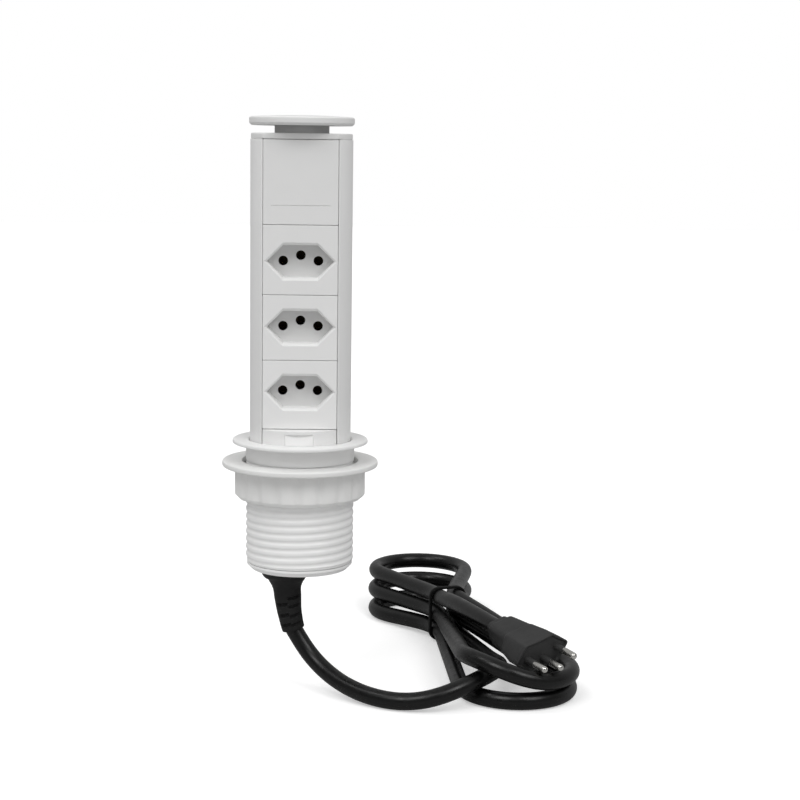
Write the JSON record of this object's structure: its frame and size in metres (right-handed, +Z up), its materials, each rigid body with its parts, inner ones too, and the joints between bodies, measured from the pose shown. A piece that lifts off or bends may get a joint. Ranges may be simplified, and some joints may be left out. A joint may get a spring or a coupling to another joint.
{
  "type": "pop up desk socket",
  "caption": "Round white pop up socket tower with six-sided earthed outlets, sliding in a flanged threaded desk collar with clamp ring and nut, on a black cord tied in a hank with its plug.",
  "frame": {"origin": "centre of the tower, in the plane of the flange's underside, which is the desk's top", "axes": "+Z up along the tower, +X to the right seen from the outlets, -Y out of the outlets towards the user"},
  "size_m": [0.1997, 0.2609, 0.3185],
  "materials": {
    "white_shell": "satin moulded",
    "white_inner": "satin moulded",
    "white_clamp": "matte moulded",
    "neck_grey": "satin moulded",
    "contact_brass": "stamped",
    "screw_steel": "zinc plated",
    "cord_black": "soft satin sheath",
    "boot_black": "soft matte",
    "tie_black": "matte",
    "plug_black": "satin moulded",
    "pin_metal": "nickel plated",
    "core_brown": "satin",
    "core_green": "satin",
    "core_blue": "satin"
  },
  "bodies": {
    "housing": {"desk_collar": "white_shell"},
    "clamp": {"clamp_ring": "white_clamp"},
    "nut": {"lock_nut": "white_clamp"},
    "tower": {"tower_shell": "white_shell", "top_block": "white_shell", "top_cap": "white_shell", "blank_plate": "white_shell", "socket_face_1": "white_shell", "socket_face_2": "white_shell", "socket_face_3": "white_shell", "tower_foot": "white_shell", "end_cap": "white_shell", "socket_base_1": "white_inner", "socket_base_2": "white_inner", "socket_base_3": "white_inner", "terminal_block": "white_inner", "cord_clamp": "white_inner", "busbar_line": "contact_brass", "busbar_earth": "contact_brass", "busbar_neutral": "contact_brass", "cap_screw": "screw_steel", "button_spring": "screw_steel", "terminal_screws": "screw_steel", "clamp_screws": "screw_steel", "cord_tail": "cord_black", "cord_free": "cord_black", "cord_hank": "cord_black", "cap_neck": "neck_grey", "cord_boot": "boot_black", "cord_tie": "tie_black", "plug_body": "plug_black", "plug_pins": "pin_metal", "core_line": "core_brown", "core_earth": "core_green", "core_neutral": "core_blue"},
    "latch": {"release_button": "white_shell"}
  },
  "joints": [
    {"name": "clamp_slide", "type": "slide", "parent": "housing", "child": "clamp", "axis": [0, 0, 1], "range_m": [-0.0345, 0.0097]},
    {"name": "nut_spin", "type": "hinge", "parent": "clamp", "child": "nut", "pos_m": [0, 0, -0.022], "axis": [0, 0, 1], "range_deg": [-2880, 804]},
    {"name": "tower_slide", "type": "slide", "parent": "housing", "child": "tower", "axis": [0, 0, 1], "range_m": [-0.1723, 0]},
    {"name": "button_press", "type": "slide", "parent": "tower", "child": "latch", "axis": [0, 1, 0], "range_m": [0, 0.0025], "stiffness_N_per_m": 400, "springref_m": -0.002, "deforming": ["button_spring"]}
  ],
  "couplings": [
    {"joint": "clamp_slide", "follows": "nut_spin", "m_per_rad": 0.00067641}
  ]
}
